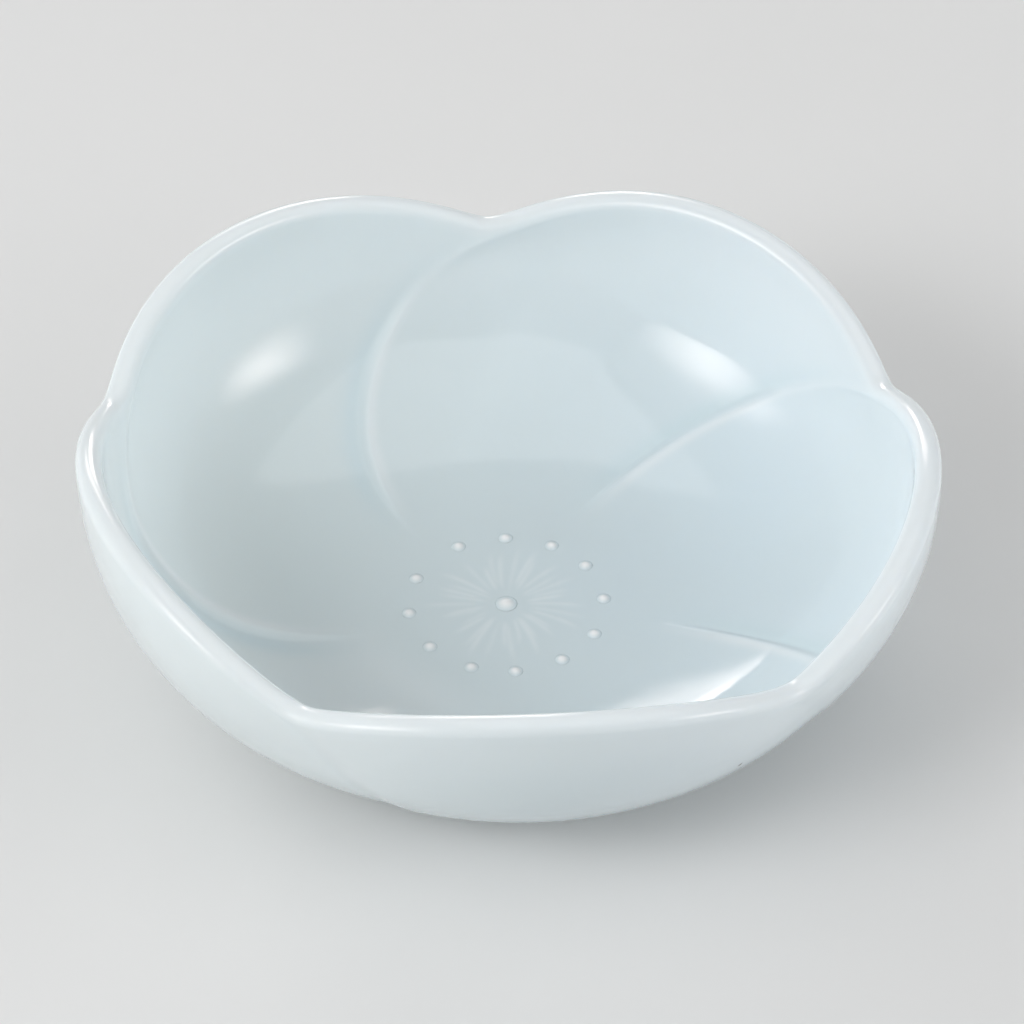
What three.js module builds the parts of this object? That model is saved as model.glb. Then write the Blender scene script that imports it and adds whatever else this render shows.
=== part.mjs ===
// A shallow porcelain bowl in the form of a plum blossom, in millimetres, +Z up.
// The origin is on the bowl's axis, in the plane that the foot rests on.
// Five round petals overlap like a pinwheel. Seen from above, each petal's counterclockwise edge
// lies over its neighbour inside, and each petal's clockwise edge lies over its neighbour outside.
// The bowl is pressed in one piece. Its foot is turned and joined on, and the flower's centre is
// a pistil bead and a ring of anther beads set on the flat middle of the floor.
import * as THREE from "three";
import { mergeVertices } from "three/addons/utils/BufferGeometryUtils.js";

// Foot and floor
const footHeight = 4.5;
const footRadius = 33;
const footWidth = 4;
const footTaper = 1; // how far the foot's outer side leans in from the bowl down to the ground
const footEdge = 0.6; // rounding of the foot's resting edge
const floorThickness = 4;

// Mouth, measured to the middle of the rounded lip
const crestRadius = 65.7; // at the middle of a petal
const crestHeight = 45.3; // at the middle of a petal
const crestLean = 0.25; // how much higher a petal's counterclockwise half stands
const lipThickness = 4.2;
const notchDip = 9; // how far the lip falls from a petal's middle to a notch
const notchDent = 1; // how far a notch is drawn in
const archPower = 2; // 2 is a parabola, less makes the petal's arch more pointed
const notchSoftness = 0.065; // rounding of the notch, as a share of half a petal

// The petals are set by hand, not quite alike: the bearing of each notch, counterclockwise
// from +X, and how far the edge that starts there turns counterclockwise on its way down
const notchBearings = [18.4, 92.8, 164.7, 239.5, 312.1];
const insideSwirls = [43.9, 38.8, 32.7, 37, 40]; // from the lip to the floor
const outsideSwirl = 20; // from the lip to the foot
const swirlStart = 1.18; // powers of the swirl's curve along the wall
const swirlRound = 0.67;

// Drift in the kiln: the mouth goes a little oval, and its edge tilts and twists
const ovalDrift = { size: 1.85, bearing: 150.5 };
const tiltDrift = { size: 0.8, bearing: 75 };
const saddleDrift = { size: 0.7, bearing: 20 };

// Wall curves: 2 is an ellipse, more is squarer at the turn from floor to wall
const innerFullness = 2.5;
const outerFullness = 2.1;

// Petal edges, as steps in the wall
const insideStep = 0.9;
const outsideStep = 0.65;
const insideStepAtLip = 0.2;
const outsideStepAtLip = 0.3;
const edgeWidth = 3.6; // across the soft step at the mouth
const stepFade = 0.3; // share of a wall, from its flat, over which the steps come up

// Flower centre
const pistilDiameter = 2.6;
const pistilHeight = 1.1;
const antherDiameter = 1.7;
const antherHeight = 0.8;
const antherRing = 16;
const antherBearings = [4.5, 35.5, 62, 90.5, 119.5, 157.5, 188, 219.5, 249.5, 275.5, 304.5, 333.5];
const floorMargin = 3.15; // flat floor left outside the anthers
const flowerOffset = 0.4; // how far behind the bowl's axis the flower was set by hand

// Facets
const columnsPerPetal = 24;
const innerRings = 15;
const outerRings = 12;
const lipRings = 7;
const footSegments = 72;
const beadSegments = 14;
const beadRings = 4;

const floorHeight = footHeight + floorThickness;
const floorRadius = antherRing + antherDiameter / 2 + floorMargin;
const lipRadius = lipThickness / 2;
const radians = THREE.MathUtils.degToRad;

// A number carried from 0 to 1 with flat ends
function ease(x) {
  const t = THREE.MathUtils.clamp(x, 0, 1);
  return t * t * (3 - 2 * t);
}

// A bearing's share of a drift that repeats so many times round the bowl
function drift(part, times, bearing) {
  return part.size * Math.cos(times * radians(bearing - part.bearing));
}

// How far the lip has fallen at place v across a petal, from 0 at its middle (v = 0)
// to 1 at either edge (v = -1 clockwise, v = 1 counterclockwise)
function archFall(v) {
  const fromEdge = Math.hypot(1 - Math.abs(v), notchSoftness);
  return (Math.max(0, 1 - fromEdge) / (1 - notchSoftness)) ** archPower;
}

// The soft saw-tooth of the petals: it rises evenly from 0 at a clockwise edge to 1 at the
// counterclockwise one, and falls back across the width of the step
function sawtooth(v) {
  const halfPetal = (Math.PI * crestRadius) / notchBearings.length;
  const past = (v > 0 ? v - 1 : v + 1) * halfPetal; // distance past the nearest edge
  const fallen = ease(0.5 + past / edgeWidth);
  return (1 + v) / 2 + (past < 0 ? 0 : 1) - fallen;
}

// Turn of a petal edge, in degrees, at share t of the way up a wall
function swirl(total, t) {
  return total * (1 - t ** swirlStart) ** swirlRound;
}

// Share of a step's full height at share t of the way up a wall: none at the flat, all of it
// by half-way, and what the lip keeps at the top
function stepShare(t, kept) {
  return ease(t / stepFade) * THREE.MathUtils.lerp(1, kept, ease(2 * t - 1));
}

// One wall as a curve in the upright plane: a quarter of a superellipse that leaves the flat
// (radius, height) level and would end upright at the full height of a crest
function wall(flat, mouth, height, fullness) {
  const reach = mouth - flat.radius;
  const rise = crestHeight - flat.height;
  // Share of the full turn at which the wall has reached this height
  const top = Math.acos(((crestHeight - height) / rise) ** (fullness / 2));
  return (t) => {
    const angle = top * t;
    const out = Math.sin(angle) ** (2 / fullness);
    const down = Math.cos(angle) ** (2 / fullness);
    // Direction of the curve, from the gradient of out^n + down^n = 1
    const slope = new THREE.Vector2(
      reach * down ** (fullness - 1),
      rise * out ** (fullness - 1),
    ).normalize();
    return {
      place: new THREE.Vector2(flat.radius + reach * out, crestHeight - rise * down),
      slope,
    };
  };
}

// The section of the bowl at place v across a petal and the given bearing of the lip:
// points of radius, height and turn, from the foot up the outside and down the inside
function section(v, bearing, insideSwirl) {
  const fall = archFall(v);
  const lipHeight =
    crestHeight -
    notchDip * fall +
    crestLean * Math.sin(Math.PI * v) +
    drift(tiltDrift, 1, bearing) +
    drift(saddleDrift, 2, bearing);
  const mouth = crestRadius - notchDent * fall + drift(ovalDrift, 2, bearing);
  const tooth = sawtooth(v);
  const end = Math.min(lipHeight, crestHeight);
  const outer = wall(
    { radius: footRadius, height: footHeight },
    mouth + lipRadius,
    end,
    outerFullness,
  );
  const inner = wall(
    { radius: floorRadius, height: floorHeight },
    mouth - lipRadius,
    end,
    innerFullness,
  );
  const above = lipHeight - end; // a crest that the drift lifts goes straight up
  const outsidePoint = (t) => {
    const { place, slope } = outer(t);
    const share = stepShare(t, outsideStepAtLip / outsideStep);
    const raised = outsideStep * share * (0.5 - tooth);
    return {
      radius: place.x + slope.y * raised,
      height: place.y - slope.x * raised + above * t,
      turn: swirl(outsideSwirl, t),
    };
  };
  const insidePoint = (t) => {
    const { place, slope } = inner(t);
    const share = stepShare(t, insideStepAtLip / insideStep);
    const raised = insideStep * share * (tooth - 0.5);
    return {
      radius: place.x - slope.y * raised,
      height: place.y + slope.x * raised + above * t,
      turn: swirl(insideSwirl, t),
    };
  };

  const points = [];
  for (let i = 0; i <= outerRings; i += 1) points.push(outsidePoint(i / outerRings));
  // The lip is half an ellipse over the two ends of the wall
  const from = points[points.length - 1];
  const to = insidePoint(1);
  for (let i = 1; i < lipRings; i += 1) {
    const angle = (Math.PI * i) / lipRings;
    const middle = { radius: (from.radius + to.radius) / 2, height: (from.height + to.height) / 2 };
    const half = { radius: (from.radius - to.radius) / 2, height: (from.height - to.height) / 2 };
    points.push({
      radius: middle.radius + half.radius * Math.cos(angle) - half.height * Math.sin(angle),
      height: middle.height + half.height * Math.cos(angle) + half.radius * Math.sin(angle),
      turn: 0,
    });
  }
  for (let i = innerRings; i >= 0; i -= 1) points.push(insidePoint(i / innerRings));
  return points;
}

// Places across a petal, closer together at its two edges, where the steps are
function petalPlaces() {
  return Array.from({ length: columnsPerPetal }, (_, i) => {
    const x = (2 * i) / columnsPerPetal - 1;
    return Math.sin((x * Math.PI) / 2) * 0.75 + x * 0.25;
  });
}

// The whole bowl: sections side by side, closed by a flat disc below and one inside
function petalBowl() {
  const sections = [];
  notchBearings.forEach((start, petal) => {
    const after = (petal + 1) % notchBearings.length;
    const width = THREE.MathUtils.euclideanModulo(notchBearings[after] - start, 360);
    petalPlaces().forEach((v) => {
      const across = (1 + v) / 2;
      const bearing = start + width * across;
      const turn = THREE.MathUtils.lerp(insideSwirls[petal], insideSwirls[after], across);
      sections.push(section(v, bearing, turn).map((p) => ({ ...p, bearing: bearing + p.turn })));
    });
  });
  const rings = sections[0].length;
  const corners = sections.flat().flatMap(({ radius, height, bearing }) => [
    radius * Math.cos(radians(bearing)),
    radius * Math.sin(radians(bearing)),
    height,
  ]);
  const below = corners.length / 3;
  corners.push(0, 0, footHeight, 0, 0, floorHeight);
  const above = below + 1;
  const faces = [];
  sections.forEach((_, i) => {
    const here = i * rings;
    const there = ((i + 1) % sections.length) * rings;
    faces.push(below, there, here);
    for (let k = 0; k < rings - 1; k += 1) {
      faces.push(here + k, there + k, there + k + 1, here + k, there + k + 1, here + k + 1);
    }
    faces.push(above, here + rings - 1, there + rings - 1);
  });
  const geometry = new THREE.BufferGeometry();
  geometry.setAttribute("position", new THREE.Float32BufferAttribute(corners, 3));
  geometry.setIndex(faces);
  geometry.computeVertexNormals();
  return geometry;
}

// A shape turned about the upright axis from a closed profile of [radius, height] points
function turned(profile, segments) {
  const points = profile.map(([r, h]) => new THREE.Vector2(r, h));
  return new THREE.LatheGeometry(points, segments).rotateX(Math.PI / 2);
}

// The foot: a ring that leans in a little downwards, with a rounded resting edge
function footRing() {
  const outerLow = footRadius - footTaper;
  const innerLow = footRadius - footWidth + footTaper / 2;
  const edge = (centreRadius, from) =>
    Array.from({ length: 4 }, (_, i) => {
      const angle = from + (i * Math.PI) / 6;
      return [centreRadius + footEdge * Math.cos(angle), footEdge + footEdge * Math.sin(angle)];
    });
  const profile = [
    [footRadius - footWidth, footHeight],
    ...edge(innerLow + footEdge, Math.PI),
    ...edge(outerLow - footEdge, 1.5 * Math.PI),
    [footRadius, footHeight],
  ];
  return turned([...profile, profile[0]], footSegments);
}

// A bead of slip: a low dome on a flat base
function bead(diameter, height) {
  const dome = Array.from({ length: beadRings + 1 }, (_, i) => {
    const angle = (i * Math.PI) / 2 / beadRings;
    return [i === beadRings ? 0 : (diameter / 2) * Math.cos(angle), height * Math.sin(angle)];
  });
  return turned([[0, 0], ...dome], beadSegments);
}

const glaze = { color: 0xd2dfe2, roughness: 0.12, metalness: 0 };
const thinGlaze = { color: 0xdfe8ea, roughness: 0.15, metalness: 0 };
const bareClay = { color: 0xe8e5de, roughness: 0.75, metalness: 0 };

function piece(name, geometry, finish) {
  const shape = geometry.clone();
  shape.deleteAttribute("normal");
  shape.deleteAttribute("uv");
  const closed = mergeVertices(shape, 1e-4);
  closed.computeVertexNormals();
  const mesh = new THREE.Mesh(closed, new THREE.MeshStandardMaterial(finish));
  mesh.name = name;
  return mesh;
}

const bowl = new THREE.Group();
bowl.add(piece("petal_bowl", petalBowl(), glaze));
bowl.add(piece("foot_ring", footRing(), bareClay));

// The flower centre stands on the flat of the floor
const flowerCentre = new THREE.Group();
flowerCentre.position.set(0, flowerOffset, floorHeight);
flowerCentre.add(piece("pistil", bead(pistilDiameter, pistilHeight), thinGlaze));
antherBearings.forEach((bearing, i) => {
  const name = `anther_${String(i + 1).padStart(2, "0")}`;
  const anther = piece(name, bead(antherDiameter, antherHeight), thinGlaze);
  anther.position.set(
    antherRing * Math.cos(radians(bearing)),
    antherRing * Math.sin(radians(bearing)),
    0,
  );
  flowerCentre.add(anther);
});
bowl.add(flowerCentre);

export default bowl;
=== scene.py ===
# %% [markdown]
# # A plum-blossom bowl in pale blue porcelain
#
# This lesson dresses a small Japanese side bowl, about 13.5 cm across. It is pressed from white
# porcelain as an open plum blossom: five round petals that overlap like a pinwheel, a thick rounded
# lip, and a flower centre of small beads on the floor. A clear glaze with a breath of blue covers it.
#
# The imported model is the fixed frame: its pieces say where everything is. The looks are new surfaces
# worked out with numpy, in metres, in the same frame.

import bpy
import numpy as np
from mathutils import Matrix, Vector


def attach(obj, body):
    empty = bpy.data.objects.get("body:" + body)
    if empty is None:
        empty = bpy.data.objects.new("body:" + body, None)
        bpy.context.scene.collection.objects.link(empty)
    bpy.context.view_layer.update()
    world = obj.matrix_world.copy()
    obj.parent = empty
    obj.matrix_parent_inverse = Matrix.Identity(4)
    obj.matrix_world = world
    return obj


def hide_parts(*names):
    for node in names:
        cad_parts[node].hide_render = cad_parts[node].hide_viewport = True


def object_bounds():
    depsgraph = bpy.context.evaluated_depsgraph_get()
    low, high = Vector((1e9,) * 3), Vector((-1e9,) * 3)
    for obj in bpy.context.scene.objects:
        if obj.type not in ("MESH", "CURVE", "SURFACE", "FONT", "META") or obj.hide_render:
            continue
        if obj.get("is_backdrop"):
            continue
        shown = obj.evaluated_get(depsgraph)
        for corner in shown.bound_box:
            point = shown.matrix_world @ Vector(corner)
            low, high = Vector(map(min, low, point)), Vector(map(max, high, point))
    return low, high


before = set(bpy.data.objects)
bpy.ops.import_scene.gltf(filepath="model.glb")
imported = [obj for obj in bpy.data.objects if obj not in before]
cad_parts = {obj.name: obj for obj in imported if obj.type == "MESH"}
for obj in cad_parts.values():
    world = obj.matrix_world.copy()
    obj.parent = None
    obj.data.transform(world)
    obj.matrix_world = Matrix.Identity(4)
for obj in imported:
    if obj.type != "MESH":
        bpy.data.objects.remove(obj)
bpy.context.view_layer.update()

MM = 0.001

# %% [markdown]
# ## The bowl's measures
#
# A maker would press the bowl over a plaster hump and trim it, so its form is a section carried round
# an axis, with three things that change on the way round: the height of the lip, the radius of the
# mouth, and a small step where one petal lies over the next. These are the sizes of the solid bowl,
# in millimetres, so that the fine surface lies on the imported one. Only the steps outside and the
# beads are a little lower here than on the solid.

# %% Measures in millimetres
foot_height = 4.5
foot_radius = 33.0
foot_width = 4.0
foot_taper = 1.0
foot_edge = 0.6
floor_height = 8.5
floor_radius = 20.0
crest_radius = 65.7
crest_height = 45.3
crest_lean = 0.25
lip_thickness = 4.2
notch_dip = 9.0
notch_dent = 1.0
notch_softness = 0.065
notch_bearings = np.array([18.4, 92.8, 164.7, 239.5, 312.1])
inside_swirls = np.array([43.9, 38.8, 32.7, 37.0, 40.0])
outside_swirl = 20.0
swirl_start, swirl_round = 1.18, 0.67
oval_drift = (1.85, 150.5)
tilt_drift = (0.8, 75.0)
saddle_drift = (0.7, 20.0)
inner_fullness, outer_fullness = 2.5, 2.1
inside_step, inside_step_at_lip = 0.9, 0.2
outside_step, outside_step_at_lip = 0.45, 0.2
edge_width, outside_edge_width = 3.6, 7.0
step_fade = 0.3
own_oval_from, own_oval_over = 0.7, 0.25
sliding_rows, row_gap, edge_softness = 20, 0.2, 0.1
notch_passes, notch_rows, notch_width = 12, 4, 9
flower_offset = 0.4
anther_ring = 16.0
anther_bearings = [4.5, 35.5, 62, 90.5, 119.5, 157.5, 188, 219.5, 249.5, 275.5, 304.5, 333.5]
pistil_size = (2.6, 1.1)
anther_size = (1.7, 0.8)
drop_showing, drop_rim = 0.5, 0.7
filaments = 34
filament_starts, filament_ends = (2.3, 4.2), (9.5, 15.0)
filament_bends, filament_heights = (-7, 7), (0.012, 0.03)
filament_half_width, filament_spread = 0.30, 0.018
petals = len(notch_bearings)

# %% [markdown]
# ## The places round the bowl
#
# Across a petal a place v runs from -1 at its clockwise edge to 1 at the other. Columns stand closer
# together near the edges, because the soft steps there are only a few millimetres wide.

# %% Columns round the bowl
columns_per_petal = 92
crowding = 0.5

def ease(x):
    """A number carried from 0 to 1 with level ends: 3x^2 - 2x^3."""
    t = np.clip(x, 0.0, 1.0)
    return t * t * (3 - 2 * t)

def mix(a, b, share):
    """a at share 0, b at share 1, evenly between."""
    return a + (b - a) * share

even = 2 * np.arange(columns_per_petal) / columns_per_petal - 1
places = mix(even, np.sin(even * np.pi / 2), crowding)
v = np.tile(places, petals)
across = (1 + v) / 2
petal = np.repeat(np.arange(petals), columns_per_petal)
after = (petal + 1) % petals
width = (notch_bearings[after] - notch_bearings[petal]) % 360
bearing = notch_bearings[petal] + width * across
inside_swirl = mix(inside_swirls[petal], inside_swirls[after], across)
print("columns:", len(v))

# %% [markdown]
# ## The lip as a wave
#
# The lip is high in the middle of each petal and low at the notches, and the notch itself is softly
# rounded. The bowl has also moved a little in the kiln, so its mouth is slightly oval and tilted.
# Each of these is a plain formula of the place across the petal or of the bearing.

# %% Lip height, mouth radius and the petals' saw-tooth
def drift(part, times, at):
    """size times the cosine of so many turns past the drift's own bearing."""
    size, start = part
    return size * np.cos(times * np.radians(at - start))

from_edge = np.hypot(1 - np.abs(v), notch_softness)
fall = (np.maximum(0, 1 - from_edge) / (1 - notch_softness)) ** 2
lip_height = (crest_height - notch_dip * fall + crest_lean * np.sin(np.pi * v)
              + drift(tilt_drift, 1, bearing) + drift(saddle_drift, 2, bearing))
mouth_radius = crest_radius - notch_dent * fall + drift(oval_drift, 2, bearing)

half_petal = np.pi * crest_radius / petals
past_edge = np.where(v > 0, v - 1, v + 1)
tooth = across + (past_edge >= 0) - ease(0.5 + past_edge * half_petal / edge_width)
soft_tooth = across + (past_edge >= 0) - ease(0.5 + past_edge * half_petal / outside_edge_width)
print("lip height:", lip_height.min().round(1), "to", lip_height.max().round(1), "mm")

# %% [markdown]
# ## The walls
#
# In section each wall is a quarter of a superellipse: it leaves the flat floor (or the foot) level
# and climbs to the lip. The petal steps are pushed out along the wall's own normal, so they keep
# their width on the steep part, and the whole section turns as it climbs, which gives the pinwheel.

# %% One wall as a surface
def step_share(t, kept):
    """Share of a step's height at share t up a wall.

    It rises from 0 at the flat to 1 at step_fade, holds to half-way, and sinks to kept at the lip.
    """
    return ease(t / step_fade) * mix(1, kept, ease(2 * t - 1))

def plain_wall(t, flat_radius, flat_height, mouth, fullness):
    """A wall without its steps, for shares t (rows) and all columns.

    (out^n + down^n = 1) is the superellipse, with out the share of the way from the flat's rim to
    the mouth and down the share still to climb. It gives back the radius, the height, and how far
    out and how far up a step of length 1 along the wall goes.
    """
    end = np.minimum(lip_height, crest_height)
    reach = mouth - flat_radius
    rise = crest_height - flat_height
    top = np.arccos(((crest_height - end) / rise) ** (fullness / 2))
    out = np.sin(top * t) ** (2 / fullness)
    down = np.cos(top * t) ** (2 / fullness)
    slope_out = reach * down ** (fullness - 1)
    slope_up = rise * out ** (fullness - 1)
    length = np.hypot(slope_out, slope_up)
    return (flat_radius + reach * out, crest_height - rise * down + (lip_height - end) * t,
            slope_out / length, slope_up / length)

def stepped_wall(t, plain, raised, total_turn):
    """The wall with its steps: radius, height and turn in degrees.

    raised is how far each point is pushed along the wall's normal.
    """
    radius, height, way_out, way_up = plain
    return (radius + way_up * raised, height - way_out * raised,
            total_turn * (1 - t ** swirl_start) ** swirl_round)

# %% The outside, the inside and the rolled lip between them
outside_rows, lip_rows, inside_rows = 44, 16, 60
row_crowding = 1.15

def shares(count):
    """count + 1 shares from 0 to 1, closer together near 0 where the wall turns up."""
    return np.linspace(0, 1, count + 1) ** row_crowding


t_out = shares(outside_rows)[:, None]
raised_out = outside_step * step_share(t_out, outside_step_at_lip / outside_step) * (0.5 - soft_tooth)
plain_out = plain_wall(t_out, foot_radius, foot_height, mouth_radius + lip_thickness / 2, outer_fullness)
outside = stepped_wall(t_out, plain_out, raised_out, outside_swirl)

t_in = shares(inside_rows)[:, None]
raised_in = inside_step * step_share(t_in, inside_step_at_lip / inside_step) * (tooth - 0.5)
# The section turns, so a column starts at one bearing and ends at another. Near the lip the wall
# follows the oval of the mouth at its own bearing, or it would lean inwards on one side
turned = bearing + inside_swirl * (1 - t_in ** swirl_start) ** swirl_round
own_mouth = crest_radius - notch_dent * fall + drift(oval_drift, 2, turned)
mouth_in = mix(mouth_radius, own_mouth, ease((t_in - own_oval_from) / own_oval_over))
mouth_in -= lip_thickness / 2
plain_in = plain_wall(t_in, floor_radius, floor_height, mouth_in, inner_fullness)
inside = stepped_wall(t_in, plain_in, -raised_in, inside_swirl)

# Beside a notch the turning rows would climb over the lower lip ahead of them. So near the top each
# row is slid down the wall until it lies below the lip's inner edge there, by row_gap for each row
near_top = slice(-sliding_rows, None)
rows_below = np.arange(inside_rows, -1, -1)[near_top, None]
ahead = bearing + inside[2][near_top]
ceiling = np.interp(ahead, bearing, inside[1][-1], period=360) - row_gap * rows_below
slid = np.maximum(0, inside[1][near_top] - ceiling)
wall_r = inside[0][near_top] - slid * plain_in[2][near_top] / plain_in[3][near_top]
inside[1][near_top] -= slid

# and nowhere does the wall lie further out than the lip over it: a rounded choice of the smaller
edge_r = np.interp(ahead, bearing, inside[0][-1], period=360)
inside[0][near_top] = (wall_r + edge_r - np.hypot(wall_r - edge_r, edge_softness)) / 2
print("slid by up to", slid.max().round(2), "mm")

# The lip is a cubic curve that leaves and meets each wall in the wall's own direction. A control
# length of 2/3 of the thickness makes it as high as half a circle.
end_r, end_z = outside[0][-1], outside[1][-1]
far_r, far_z = inside[0][-1], inside[1][-1]
control = 2 / 3 * np.hypot(end_r - far_r, end_z - far_z)
along = np.linspace(0, 1, lip_rows + 1)[1:-1, None]
weights = [(1 - along) ** 3, 3 * (1 - along) ** 2 * along, 3 * (1 - along) * along ** 2, along ** 3]
lip_r = [end_r, end_r + control * plain_out[2][-1], far_r + control * plain_in[2][-1], far_r]
lip_z = [end_z, end_z + control * plain_out[3][-1], far_z + control * plain_in[3][-1], far_z]
lip = [sum(w * p for w, p in zip(weights, lip_r)), sum(w * p for w, p in zip(weights, lip_z)),
       0 * along * end_r]
print("lip thickness:", (end_r - far_r).min().round(2), "to", (end_r - far_r).max().round(2), "mm")

# %% [markdown]
# ## The flower centre's filaments
#
# On the floor, fine threads of slip fan out from the middle towards the ring of beads, some long and
# some short. They stand only hundredths of a millimetre high and are a little whiter than the floor.
# Each is a narrow ridge: a bell curve across its own bearing, times a run along it that rises and
# sinks softly at its ends. Drawing them in the surface keeps them in every view, where a bump map
# would fade at grazing angles.

# %% The floor with its filaments
floor_rows = 46
random = np.random.default_rng(5)
filament_bearing = (np.arange(filaments) + random.uniform(-0.3, 0.3, filaments)) * 360 / filaments
filament_start = random.uniform(*filament_starts, filaments)
filament_end = random.uniform(*filament_ends, filaments)
filament_bend = random.uniform(*filament_bends, filaments)
filament_height = random.uniform(*filament_heights, filaments)

def filament_relief(from_axis, at_bearing):
    """Height in mm over the flat floor: the sum of ridges exp(-(offset / half width)^2)."""
    across_x = from_axis * np.cos(np.radians(at_bearing))
    across_y = from_axis * np.sin(np.radians(at_bearing)) - flower_offset
    radius, at = np.hypot(across_x, across_y), np.degrees(np.arctan2(across_y, across_x))
    total = np.zeros_like(radius)
    for start, end, middle, bend, height in zip(filament_start, filament_end, filament_bearing,
                                                filament_bend, filament_height):
        travelled = (radius - start) / (end - start)
        off = (at - middle - bend * travelled ** 2 + 180) % 360 - 180
        offset = radius * np.radians(off)
        run = ease(travelled * 4) * ease((1 - travelled) * 2.5)
        half_width = filament_half_width + filament_spread * radius
        total += height * run * np.exp(-(offset / half_width) ** 2)
    return total

floor_shares = np.linspace(1, 0, floor_rows + 1)[1:-1, None]
floor_r = floor_radius * floor_shares + 0 * bearing
floor_turn = inside_swirl + 0 * floor_r
floor_z = floor_height + filament_relief(floor_r, bearing + floor_turn)
print("filament height:", (floor_z.max() - floor_height).round(3), "mm")

under_r = foot_radius * np.linspace(0, 1, 10)[1:-1, None] + 0 * bearing
under_z = np.full_like(under_r, foot_height)
under_turn = outside_swirl + 0 * under_r

# %% [markdown]
# ## From grids to a mesh
#
# The rows follow one path: out along the underside, up the outside, over the lip, down the inside and
# in across the floor. Stacked, they are one grid, closed by a point at each end, so the bowl has no
# seam. The faces are the grid's squares.

# %% Stacking the rows and closing the ends
def upright(radius, height, at):
    """Points in metres from radius and height in mm and a bearing in degrees."""
    a = np.radians(at)
    return np.stack([radius * np.cos(a), radius * np.sin(a), height + 0 * a], -1) * MM

def grid_faces(rows, columns):
    """Corner numbers of the squares of a grid that closes round its columns."""
    k, i = np.meshgrid(np.arange(rows - 1), np.arange(columns), indexing="ij")
    j = (i + 1) % columns
    return np.stack([k * columns + i, k * columns + j,
                     (k + 1) * columns + j, (k + 1) * columns + i], -1).reshape(-1, 4)

def make_mesh(name, points, quads, triangles=()):
    """A smooth-shaded mesh object from arrays of points and corner numbers."""
    mesh = bpy.data.meshes.new(name)
    corners = np.concatenate([np.ravel(quads), np.ravel(triangles)]).astype(np.int32)
    sizes = np.concatenate([np.full(len(quads), 4), np.full(len(triangles), 3)])
    mesh.vertices.add(len(points))
    mesh.vertices.foreach_set("co", np.ravel(points).astype(np.float32))
    mesh.loops.add(len(corners))
    mesh.loops.foreach_set("vertex_index", corners)
    mesh.polygons.add(len(sizes))
    mesh.polygons.foreach_set("loop_start", (np.cumsum(sizes) - sizes).astype(np.int32))
    mesh.polygons.foreach_set("use_smooth", np.ones(len(sizes), dtype=bool))
    mesh.update(calc_edges=True)
    mesh.validate()
    piece = bpy.data.objects.new(name, mesh)
    bpy.context.scene.collection.objects.link(piece)
    return piece

def closed_surface(name, grid, start, end):
    """A grid of points closed by one point before its first row and one after its last."""
    rows, columns, _ = grid.shape
    points = np.concatenate([grid.reshape(-1, 3), [start, end]])
    i = np.arange(columns)
    j = (i + 1) % columns
    first, last = rows * columns, rows * columns + 1
    low = np.stack([np.full(columns, first), j, i], -1)
    high = np.stack([np.full(columns, last), (rows - 1) * columns + i, (rows - 1) * columns + j], -1)
    return make_mesh(name, points, grid_faces(rows, columns), np.concatenate([low, high]))

down_inside = [part[::-1] for part in inside]
row_counts = [len(part) for part in (under_r, t_out, along, t_in, floor_r)]
row_ends = np.cumsum(row_counts)
spans = [slice(end - count, end) for count, end in zip(row_counts, row_ends)]
on_outside, on_lip, on_inside, on_floor = spans[1:]
within = slice(on_inside.start, None)
radius = np.concatenate([under_r, outside[0], lip[0], down_inside[0], floor_r])
height = np.concatenate([under_z, outside[1], lip[1], down_inside[1], floor_z])
turn = np.concatenate([under_turn, outside[2] + 0 * outside[0], lip[2], down_inside[2], floor_turn])
bowl_points = upright(radius, height, bearing + turn)

# Each notch is softened just inside the lip: points there move towards their neighbours. The share
# that they move is largest three rows below the lip's inner edge
near_lip = np.exp(-((np.arange(len(bowl_points)) - on_inside.start - 3) / notch_rows) ** 2)
near_notch = np.exp(-(past_edge * half_petal / notch_width) ** 2)
softened = (near_lip[:, None] * near_notch)[..., None]
for _ in range(notch_passes):
    neighbours = (np.roll(bowl_points, 1, 0) + np.roll(bowl_points, -1, 0)
                  + np.roll(bowl_points, 1, 1) + np.roll(bowl_points, -1, 1)) / 4
    bowl_points = bowl_points + softened * (neighbours - bowl_points)
bowl = closed_surface("porcelain_bowl", bowl_points, (0, 0, foot_height * MM), (0, 0, floor_height * MM))
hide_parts("petal_bowl")
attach(bowl, "root")
print("bowl faces:", len(bowl.data.polygons))

# %% [markdown]
# ## Where the glaze is thick and where it is thin, and where shade is painted
#
# Melted glaze runs off raised edges and gathers in the hollow beside them. Over white porcelain a thin
# coat looks white and a thick one blue. So each point of the bowl carries four numbers. pool is the
# depth gathered at the low side of a petal edge, and thin is how bare the crest of an edge or lip is.
# At the petal edges both are bell curves of the distance past the edge, in millimetres round the
# bowl. slip follows the filaments. coat_depth_and_shading darkens the coat from 0 near the lip to 1 at
# the height of the floor and below it: partly a thicker coat, partly painted shade low on the walls.
# It also carries a patch of painted shade on the front of the outside and one of painted light inside.

# %% The glaze and the painted shade as numbers on the mesh
def bell(distance, centre, half_width):
    """1 at the centre, falling away as exp(-(d / half width)^2)."""
    return np.exp(-((distance - centre) / half_width) ** 2)

past_mm = past_edge * np.pi * radius / petals
pool = np.zeros_like(radius)
thin = np.zeros_like(radius)
slip = np.zeros_like(radius)

outside_strength = 0.3
share_out = step_share(t_out, 0.3)
pool[on_outside] = outside_strength * share_out * bell(past_mm[on_outside], -1.6, 2.2)
thin[on_outside] = outside_strength * share_out * bell(past_mm[on_outside], 1.5, 2.0)
thin[on_lip] = np.sin(np.pi * along) ** 0.7
share_in = step_share(t_in[::-1], 0.1)
pool[on_inside] = share_in * bell(past_mm[on_inside], 2.0, 2.2)
thin[on_inside] = share_in * bell(past_mm[on_inside], -1.6, 1.3)
slip[on_floor] = np.clip(filament_relief(floor_r, bearing + floor_turn) / filament_heights[1], 0, 1)

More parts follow.
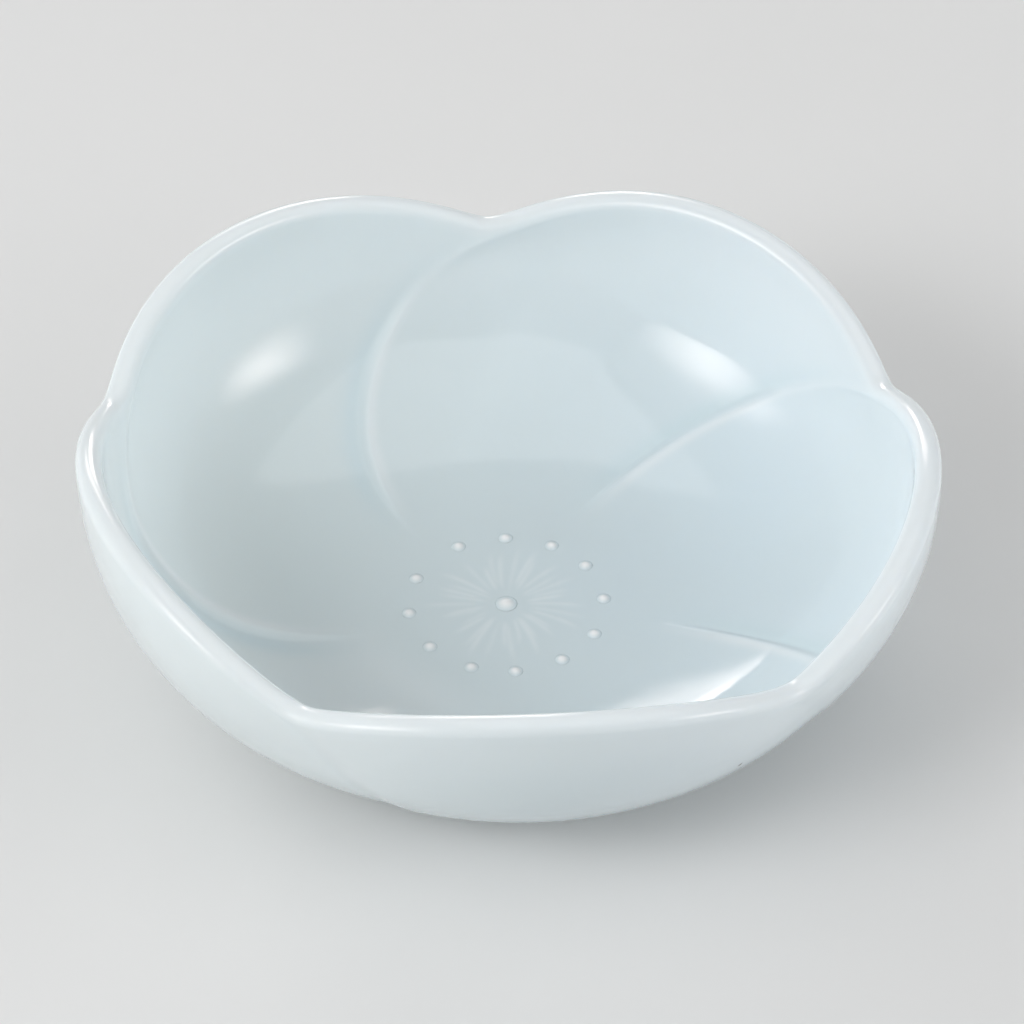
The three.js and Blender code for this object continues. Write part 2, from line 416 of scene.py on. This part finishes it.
light_band = 6
# Darker towards the floor and the foot: partly a thicker coat, partly painted shade low on the walls
coat_depth_and_shading = 1 - ease((height - floor_height) / (crest_height - light_band - floor_height))

# Painted shade and painted light: the front of the outside, up to the lip, gets a darker coat that
# paints in shade, and the wall inside at the front left a lighter one that paints in light. These two
# patches are matched to the shading seen on the real bowl
front_bearing, front_spread, front_painted_shade = 275, 30, 0.95
patch_from_front, patch_spread, patch_painted_light = -47, 34, 0.9
patch_starts, patch_grows_over = 16, 10
from_front = (bearing + turn - front_bearing + 180) % 360 - 180
front = bell(from_front, 0, front_spread)
rising = 1 - 0.5 * ease((t_out - 0.75) / 0.25)
coat_depth_and_shading[on_outside] = np.maximum(coat_depth_and_shading[on_outside], front_painted_shade * front[on_outside] * rising)
coat_depth_and_shading[on_lip] = np.maximum(coat_depth_and_shading[on_lip], front_painted_shade / 2 * front[on_lip] * (1 - ease(along)))
off_floor = ease((radius[within] - patch_starts) / patch_grows_over)
coat_depth_and_shading[within] *= 1 - patch_painted_light * bell(from_front[within], patch_from_front, patch_spread) * off_floor
print("pool up to", pool.max().round(2), "and thin up to", thin.max().round(2))

def set_numbers(piece, name, values, at_end=0):
    """Writes one number per point; the surface's first closing point takes 0, the last at_end."""
    layer = piece.data.attributes.new(name, "FLOAT", "POINT")
    layer.data.foreach_set("value", np.append(values.ravel(), [0, at_end]).astype(np.float32))

set_numbers(bowl, "pool", pool)
set_numbers(bowl, "thin", thin)
set_numbers(bowl, "slip", slip)
set_numbers(bowl, "coat_depth_and_shading", coat_depth_and_shading, at_end=1)

# %% [markdown]
# ## The beads of slip
#
# The flower centre is made with drops of white slip from a fine spout: one larger drop in the middle
# and twelve smaller ones in a ring. Glaze has filled the angle round each drop, so it has no hard rim
# and stands less high than it was set: one soft swell, with a cosine's crest as its section.

# %% One drop as a surface, and the thirteen of them
def drop_points(diameter, height, at, rows=12, columns=28):
    """A swell of the given size on the floor: height times (half of 1 + cos pi s) to the power 0.75.

    s runs from 1 at the rim to 0 at the top, and the rim is drop_rim of the diameter out.
    """
    s = np.linspace(1, 0, rows + 1)[:-1, None]
    turn_round = np.linspace(0, 360, columns, endpoint=False)
    swell = height * (0.5 + 0.5 * np.cos(np.pi * s)) ** 0.75
    points = upright(drop_rim * diameter * s + 0 * turn_round, swell, turn_round + 0 * s)
    return points + np.array([at[0], at[1], floor_height]) * MM

def add_drop(name, node, size, at):
    """A drop in place of the solid bead of that name."""
    diameter, rise = size[0], size[1] * drop_showing
    points = drop_points(diameter, rise, at)
    base = np.array([at[0], at[1], floor_height]) * MM
    piece = closed_surface(name, points, base, base + np.array([0, 0, rise]) * MM)
    share = (points[..., 2] / MM - floor_height) / rise
    set_numbers(piece, "thin", share, at_end=1)
    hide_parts(node)
    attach(piece, "root")
    return piece

drops = [add_drop("pistil_drop", "pistil", pistil_size, (0, flower_offset))]
for number, at_bearing in enumerate(anther_bearings, 1):
    a = np.radians(at_bearing)
    spot = (anther_ring * np.cos(a), anther_ring * np.sin(a) + flower_offset)
    drops.append(add_drop(f"anther_drop_{number:02d}", f"anther_{number:02d}", anther_size, spot))
print("drops:", len(drops))

# %% [markdown]
# ## The foot ring
#
# Under the bowl a low ring was turned on the wheel. The potter wipes the glaze off its resting edge,
# or the bowl would stick to the kiln shelf. The ring is a closed section carried round the axis, with
# its two lower corners rounded.

# %% The foot ring as a turned section
def corner(centre_r, from_angle, steps=6):
    """A quarter circle of the foot's edge radius, as radius and height in mm."""
    a = np.radians(np.linspace(from_angle, from_angle + 90, steps + 1))
    return np.stack([centre_r + foot_edge * np.cos(a), foot_edge + foot_edge * np.sin(a)], -1)

outer_low = foot_radius - foot_taper
inner_low = foot_radius - foot_width + foot_taper / 2
section = np.concatenate([
    [[foot_radius - foot_width, foot_height]],
    corner(inner_low + foot_edge, 180),
    corner(outer_low - foot_edge, 270),
    [[foot_radius, foot_height]],
])
foot_columns = 144
round_foot = np.linspace(0, 360, foot_columns, endpoint=False)
ring = upright(section[:, :1] + 0 * round_foot, section[:, 1:] + 0 * round_foot,
               round_foot + 0 * section[:, :1])
# One row more than the section has, counted round to the first, closes the section on itself
ring_faces = grid_faces(len(section) + 1, foot_columns) % (len(section) * foot_columns)
foot = make_mesh("foot_ring_turned", ring.reshape(-1, 3), ring_faces)
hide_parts("foot_ring")
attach(foot, "root")
print("foot faces:", len(foot.data.polygons))

# %% [markdown]
# ## The glaze as a material
#
# Seen close, the glaze isn't one colour. It is bluer where it pools, whiter where it thins, and it
# drifts faintly between green and blue over a few centimetres. It is darker towards the floor and
# the foot, partly painted shade, and has a patch of painted shade on the front of the outside and one
# of painted light inside at the front left. Light goes a little way into it, so a small subsurface
# share softens the shading. The gloss is high, and very slightly uneven, like the skin of an orange
# seen from afar. All of it comes from noise and the four numbers on the mesh.

# %% Small helpers for node trees
def new_material(name):
    """An empty node material, with its tree and its main shader."""
    material = bpy.data.materials.new(name)
    material.use_nodes = True
    tree = material.node_tree
    return material, tree, tree.nodes["Principled BSDF"]

def colour_mix(tree, factor, first, second):
    """A Mix node between two colours or sockets by a factor socket, and its result."""
    node = tree.nodes.new("ShaderNodeMix")
    node.data_type = "RGBA"
    tree.links.new(factor, node.inputs[0])
    for socket, value in ((node.inputs[6], first), (node.inputs[7], second)):
        if isinstance(value, tuple):
            socket.default_value = (*value, 1)
        else:
            tree.links.new(value, socket)
    return node.outputs[2]

def noise(tree, size_mm, detail=2.0):
    """Soft noise with lumps of about the given size, from Object coordinates."""
    where = tree.nodes.new("ShaderNodeTexCoord")
    node = tree.nodes.new("ShaderNodeTexNoise")
    node.inputs["Scale"].default_value = 1 / (size_mm * MM)
    node.inputs["Detail"].default_value = detail
    tree.links.new(where.outputs["Object"], node.inputs["Vector"])
    return node.outputs["Fac"]

def remap(tree, value, low, high, to_low, to_high):
    """A Map Range node: value from low..high carried to to_low..to_high, held at the ends."""
    node = tree.nodes.new("ShaderNodeMapRange")
    tree.links.new(value, node.inputs["Value"])
    for key, number in (("From Min", low), ("From Max", high), ("To Min", to_low), ("To Max", to_high)):
        node.inputs[key].default_value = number
    return node.outputs["Result"]

def place_on_object(tree, axis):
    """One of the Object coordinates, in metres."""
    where = tree.nodes.new("ShaderNodeTexCoord")
    parts = tree.nodes.new("ShaderNodeSeparateXYZ")
    tree.links.new(where.outputs["Object"], parts.inputs[0])
    return parts.outputs[axis]

def number_on_mesh(tree, name):
    """An attribute that the mesh carries, as a value."""
    node = tree.nodes.new("ShaderNodeAttribute")
    node.attribute_name = name
    return node.outputs["Fac"]

def surface_bump(tree, shader, value, height_mm):
    """A Bump node that turns a value into a height of the given size."""
    node = tree.nodes.new("ShaderNodeBump")
    node.inputs["Distance"].default_value = height_mm * MM
    tree.links.new(value, node.inputs["Height"])
    tree.links.new(node.outputs["Normal"], shader.inputs["Normal"])

# %% Colours of glaze and clay
high_left, high_right = (0.785, 0.852, 0.868), (0.790, 0.858, 0.895)
# The deep_and_shaded colours are those of a thick coat and also of the painted shade low on the walls
deep_and_shaded_left, deep_and_shaded_right = (0.698, 0.776, 0.786), (0.662, 0.766, 0.823)
glaze_pool = (0.640, 0.755, 0.795)
glaze_thin = (0.800, 0.845, 0.865)
slip_white, slip_shade, slip_blue = (0.940, 0.950, 0.950), (0.900, 0.920, 0.925), (0.860, 0.910, 0.930)
bare_clay = (0.780, 0.760, 0.720)
kiln_grain = (0.640, 0.600, 0.540)
iron_brown = (0.230, 0.190, 0.180)
speck_at = np.array([36.0, -51.6, 23.2])
speck_core, speck_edge = 0.2, 0.5

def side_to_side(tree, left, right):
    """The drift of a glaze colour from the bowl's left to its right."""
    return colour_mix(tree, remap(tree, place_on_object(tree, "X"), -0.045, 0.045, 0, 1), left, right)

# %% The pooled glaze on the bowl
glaze, tree, shader = new_material("pooled_porcelain_glaze")
shader.inputs["IOR"].default_value = 1.5
shader.inputs["Subsurface Weight"].default_value = 0.15
shader.inputs["Subsurface Radius"].default_value = (0.9, 1.0, 1.1)
shader.inputs["Subsurface Scale"].default_value = 1.5 * MM

# Darker where coat_depth_and_shading is high: a thicker coat, and painted shade low on the walls and on
# the front of the outside; lighter on the painted-light patch inside at the front left
colour = colour_mix(tree, number_on_mesh(tree, "coat_depth_and_shading"), side_to_side(tree, high_left, high_right),
                    side_to_side(tree, deep_and_shaded_left, deep_and_shaded_right))
drifting = remap(tree, noise(tree, 28), 0.3, 0.7, 0, 0.25)
colour = colour_mix(tree, drifting, colour, deep_and_shaded_left)
pooled = remap(tree, number_on_mesh(tree, "pool"), 0, 1, 0, 0.8)
colour = colour_mix(tree, pooled, colour, glaze_pool)
thinned = remap(tree, number_on_mesh(tree, "thin"), 0, 1, 0, 0.6)
colour = colour_mix(tree, thinned, colour, glaze_thin)
threads = remap(tree, number_on_mesh(tree, "slip"), 0, 1, 0, 0.4)
colour = colour_mix(tree, threads, colour, slip_blue)

# A small brown speck low on the outside, such as a grain of iron in the clay burns to
from_speck = tree.nodes.new("ShaderNodeVectorMath")
from_speck.operation = "SUBTRACT"
from_speck.inputs[1].default_value = speck_at * MM
tree.links.new(tree.nodes.new("ShaderNodeTexCoord").outputs["Object"], from_speck.inputs[0])
drawn_out = tree.nodes.new("ShaderNodeVectorMath")
drawn_out.operation = "MULTIPLY"
drawn_out.inputs[1].default_value = (1, 1, 0.4)
tree.links.new(from_speck.outputs[0], drawn_out.inputs[0])
far = tree.nodes.new("ShaderNodeVectorMath")
far.operation = "LENGTH"
tree.links.new(drawn_out.outputs[0], far.inputs[0])
burnt = remap(tree, far.outputs["Value"], speck_core * MM, speck_edge * MM, 0.8, 0)
colour = colour_mix(tree, burnt, colour, iron_brown)
tree.links.new(colour, shader.inputs["Base Color"])

# Thin glaze is a little duller, so the lights draw broader, softer lines along the lip
gloss = tree.nodes.new("ShaderNodeMath")
gloss.operation = "ADD"
tree.links.new(remap(tree, noise(tree, 6), 0.3, 0.7, 0.03, 0.07), gloss.inputs[0])
tree.links.new(remap(tree, number_on_mesh(tree, "thin"), 0, 1, 0, 0.07), gloss.inputs[1])
tree.links.new(gloss.outputs[0], shader.inputs["Roughness"])
tree.links.new(remap(tree, number_on_mesh(tree, "thin"), 0, 1, 0.5, 0.36),
               shader.inputs["Specular IOR Level"])
surface_bump(tree, shader, noise(tree, 4.5, detail=1.0), 0.015)
bowl.data.materials.append(glaze)

# %% Thin glaze on the drops, and the wiped foot
drop_glaze, tree, shader = new_material("thin_porcelain_glaze")
shader.inputs["IOR"].default_value = 1.5
white = colour_mix(tree, noise(tree, 1.2), slip_white, slip_shade)
showing = remap(tree, number_on_mesh(tree, "thin"), 0.05, 0.85, 0, 1)
tree.links.new(colour_mix(tree, showing, side_to_side(tree, deep_and_shaded_left, deep_and_shaded_right), white),
               shader.inputs["Base Color"])
tree.links.new(remap(tree, noise(tree, 0.8), 0.3, 0.7, 0.07, 0.12), shader.inputs["Roughness"])
surface_bump(tree, shader, noise(tree, 0.7), 0.004)
for drop in drops:
    drop.data.materials.append(drop_glaze)

clay, tree, shader = new_material("wiped_porcelain_foot")
shader.inputs["Specular IOR Level"].default_value = 0.35
tree.links.new(colour_mix(tree, remap(tree, noise(tree, 0.6, 4), 0.55, 0.75, 0, 0.5),
                          bare_clay, kiln_grain), shader.inputs["Base Color"])
tree.links.new(remap(tree, noise(tree, 2), 0.3, 0.7, 0.65, 0.85), shader.inputs["Roughness"])
surface_bump(tree, shader, noise(tree, 0.35, 4), 0.03)
foot.data.materials.append(clay)

# %% [markdown]
# ## The studio
#
# The bowl stands on a plain pale sweep, in soft light that throws a faint shadow to the right. The
# glaze mirrors the lights as bright blobs, so five of them are placed where their reflections belong:
# two boxes, a strip and a panel, and a small lamp close behind, which draws the lines on the lips.
# Those five only show as reflections. Fourteen others only light the surfaces, and the room adds an
# even glow. A real studio can't part reflections from shading, but here it lets each be set alone.

# %% The floor
paper, tree, shader = new_material("pale_paper_sweep")
shader.inputs["Roughness"].default_value = 0.9
shader.inputs["Specular IOR Level"].default_value = 0.1
paper_dark, paper_light = (0.735, 0.74, 0.738), (0.755, 0.757, 0.755)
tree.links.new(colour_mix(tree, noise(tree, 60), paper_dark, paper_light), shader.inputs["Base Color"])
sweep_half = 3.0
sweep_corners = np.array([[-1, -1, 0], [1, -1, 0], [1, 1, 0], [-1, 1, 0]]) * sweep_half
sweep = make_mesh("paper_sweep", sweep_corners, np.array([[0, 1, 2, 3]]))
sweep.data.materials.append(paper)
sweep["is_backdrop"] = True

# %% Lights
def towards(azimuth, elevation, distance):
    """A place at that distance from the bowl, by bearing from +X and height angle in degrees."""
    a, e = np.radians([azimuth, elevation])
    way = np.array([np.cos(e) * np.cos(a), np.cos(e) * np.sin(a), np.sin(e)])
    return way * distance + np.array([0, 0, 0.03])

def soft_light(name, place, size, radiance, edge, roll=0, facing=None, colour=(1, 1, 1)):
    """An oblong light facing the bowl, as bright as radiance in its middle and fading at its edges.

    The fade is a smooth step of the distance to the nearest side, over the given share of the size,
    or over two shares, one for the width and one for the height. A positive roll, in degrees, lifts
    the side that lies further counterclockwise. facing is the way back from the lit spot to the
    light, for a light that doesn't face the bowl.
    """
    lamp = bpy.data.lights.new(name, "AREA")
    lamp.shape = "RECTANGLE"
    lamp.size, lamp.size_y = size
    # Cycles spreads the energy over the area and the half-sphere: radiance = energy / (4 area)
    lamp.energy = radiance * 4 * size[0] * size[1]
    lamp.color = colour
    lamp.use_nodes = True
    tree = lamp.node_tree
    emission = tree.nodes["Emission"]
    where = tree.nodes.new("ShaderNodeNewGeometry")
    parts = tree.nodes.new("ShaderNodeSeparateXYZ")
    tree.links.new(where.outputs["Parametric"], parts.inputs[0])
    fades = []
    for axis, fade in zip("XY", np.broadcast_to(edge, 2)):
        rise = remap(tree, parts.outputs[axis], 0, fade, 0, 1)
        sink = remap(tree, parts.outputs[axis], 1 - fade, 1, 1, 0)
        rise.node.interpolation_type = sink.node.interpolation_type = "SMOOTHSTEP"
        fades += [rise, sink]
    strength = fades[0]
    for fade in fades[1:]:
        product = tree.nodes.new("ShaderNodeMath")
        product.operation = "MULTIPLY"
        tree.links.new(strength, product.inputs[0])
        tree.links.new(fade, product.inputs[1])
        strength = product.outputs[0]
    tree.links.new(strength, emission.inputs["Strength"])
    holder = bpy.data.objects.new(name, lamp)
    bpy.context.scene.collection.objects.link(holder)
    out = np.array(facing if facing else place, float)
    out /= np.linalg.norm(out)
    side_way = np.cross([0, 0, 1], out) if abs(out[2]) < 0.999 else np.array([1.0, 0, 0])
    side_way /= np.linalg.norm(side_way)
    side_way = side_way * np.cos(np.radians(roll)) + np.cross(out, side_way) * np.sin(np.radians(roll))
    stand = np.eye(4)
    stand[:3] = np.stack([side_way, np.cross(out, side_way), out, place], 1)
    holder.matrix_world = Matrix(stand)
    return holder

light_distance = 1.5
white, warm = (1, 1, 1), (1, 0.90, 0.86)
# name, place, size in metres, radiance, share that fades, roll, facing, colour
mirrored_table = [
    ("box_left_front", towards(-152.6, 19.9, light_distance), (1.50, 1.25), 5.4, 0.5, -34, None, warm),
    ("box_right_front", towards(-20.0, 20.6, light_distance), (1.12, 0.80), 5.2, 0.5, -14, None, warm),
    ("strip_behind", towards(99, 24.2, light_distance), (0.737, 0.42), 3.2, (0.15, 0.3), -40, None, warm),
    ("lamp_behind", np.array([-0.032, 0.35, 0.13]), (0.11, 0.10), 6.5, 0.3, 0, None, warm),
    ("panel_above", np.array([0.215, -0.35, 1.2]), (1.47, 2.0), 0.73, 0.04, 0, (0, 0, 1), white),
]
mirrored = [soft_light(*row) for row in mirrored_table]
for light in mirrored:
    light.visible_diffuse = False

# azimuth, elevation, width and height in metres, share that fades, radiance
fill_table = [
    (-152.6, 19.9, 1.45, 1.14, 0.5, 1.8),
    (-24.3, 22.6, 1.09, 0.70, 0.5, 4.0),
    (101, 22, 0.57, 0.75, 0.3, 1.6),
    (0, 16, 0.8, 0.5, 0.3, 7.0),
    (30, 16, 0.8, 0.5, 0.3, 1.8),
    (120, 16, 0.8, 0.5, 0.3, 5.7),
    (180, 16, 0.8, 0.5, 0.3, 2.9),
    (180, 38, 1.0, 0.8, 0.3, 1.0),
    (216, 38, 1.0, 0.8, 0.3, 5.5),
    (288, 38, 1.0, 0.8, 0.3, 0.5),
    (0, 64, 1.0, 0.9, 0.3, 0.4),
    (180, 64, 1.0, 0.9, 0.3, 0.6),
    (240, 64, 1.0, 0.9, 0.3, 0.4),
    (300, 64, 1.0, 0.9, 0.3, 0.3),
]
for number, (azimuth, elevation, wide, high, edge, radiance) in enumerate(fill_table, 1):
    place = towards(azimuth, elevation, light_distance)
    fill = soft_light(f"fill_{number:02d}", place, (wide, high), radiance, edge)
    fill.visible_glossy = False

world = bpy.data.worlds.new("studio_walls")
bpy.context.scene.world = world
world.use_nodes = True
world.node_tree.nodes["Background"].inputs["Color"].default_value = (1, 1, 1, 1)
world.node_tree.nodes["Background"].inputs["Strength"].default_value = 0.3

# %% [markdown]
# ## The camera
#
# The photograph was taken from above at about 42 degrees with a long lens, so the bowl hardly narrows
# with distance. The camera's place, tilt and lens were fitted to the outline of the mouth.

# %% Camera
camera_tilt = np.radians(41.906)
camera_distance = 0.8031
camera_aim = np.array([0.000938, 0, 0.0290])
focal_pixels = 5000
photo_pixels = 1024

back = np.array([0, -np.cos(camera_tilt), np.sin(camera_tilt)])
up = np.array([0, np.sin(camera_tilt), np.cos(camera_tilt)])
pose = np.eye(4)
pose[:3, 0], pose[:3, 1], pose[:3, 2] = (1, 0, 0), up, back
pose[:3, 3] = camera_aim + back * camera_distance

lens = bpy.data.cameras.new("studio_camera")
lens.sensor_width = 36
lens.lens = focal_pixels / photo_pixels * lens.sensor_width
lens.clip_start, lens.clip_end = 0.01, 20
camera = bpy.data.objects.new("studio_camera", lens)
camera.matrix_world = Matrix(pose)
bpy.context.scene.collection.objects.link(camera)
bpy.context.scene.camera = camera
bpy.context.scene.view_settings.view_transform = "Standard"
print("lens in mm:", round(lens.lens, 1))

# %% The box round the dressed scene
bpy.context.view_layer.update()
low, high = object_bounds()
